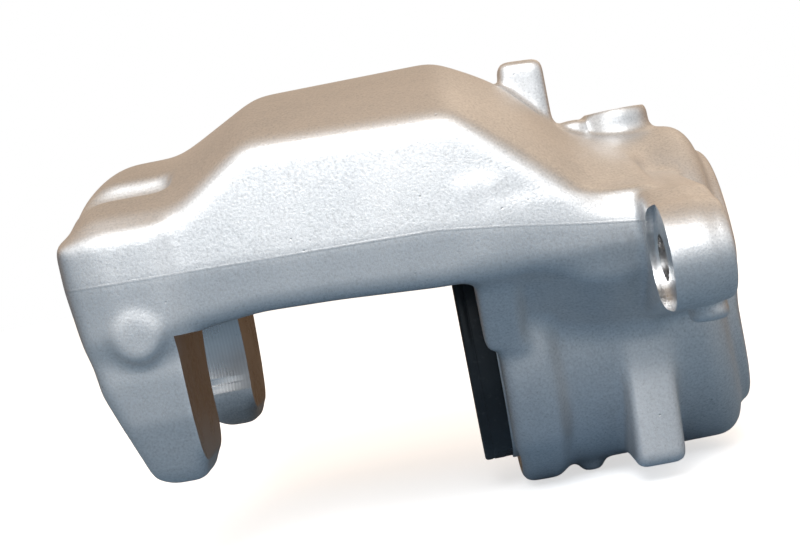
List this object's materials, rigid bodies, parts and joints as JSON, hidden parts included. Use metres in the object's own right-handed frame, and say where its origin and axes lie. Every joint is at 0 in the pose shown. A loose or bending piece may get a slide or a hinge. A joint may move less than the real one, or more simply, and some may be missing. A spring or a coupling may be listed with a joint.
{
  "type": "brake caliper",
  "caption": "Floating disc brake caliper: cast aluminium housing with a bridge over the disc, fingers, a hydraulic piston with dust boot, guide pin ears, inlet port and bleed screw.",
  "frame": {"origin": "midway between the two guide pin holes, in the plane of the ears' front faces", "axes": "+X along the piston from the fingers to the cylinder's closed end, +Y along the line of the guide pin holes towards the bleed screw, +Z away from the wheel's axle, up out of the inlet port"},
  "size_m": [0.1383, 0.1568, 0.0995],
  "materials": {
    "cast_aluminium": "blasted cast surface, machined faces",
    "phenolic": "ground phenolic",
    "seal_rubber": "smooth",
    "boot_rubber": "glossy moulded",
    "spring_steel": "drawn wire",
    "plated_steel": "zinc plated",
    "cap_rubber": "matt moulded"
  },
  "bodies": {
    "housing": {"housing": "cast_aluminium", "piston_seal": "seal_rubber", "dust_boot": "boot_rubber", "boot_retaining_ring": "spring_steel"},
    "piston": {"piston": "phenolic"},
    "bleed_screw": {"bleed_screw": "plated_steel"},
    "bleed_screw_cap": {"bleed_screw_cap": "cap_rubber"}
  },
  "joints": [
    {"name": "piston_slide", "type": "slide", "parent": "housing", "child": "piston", "axis": [-1, 0, 0], "range_m": [0, 0.026], "deforming": ["dust_boot"]},
    {"name": "bleed_screw_turn", "type": "hinge", "parent": "housing", "child": "bleed_screw", "pos_m": [0.005, 0, -0.01], "axis": [0, 0.766, 0.6428], "range_deg": [0, 180]},
    {"name": "bleed_cap_pull", "type": "slide", "parent": "bleed_screw", "child": "bleed_screw_cap", "axis": [0, 0.766, 0.6428], "range_m": [0, 0.014]}
  ]
}
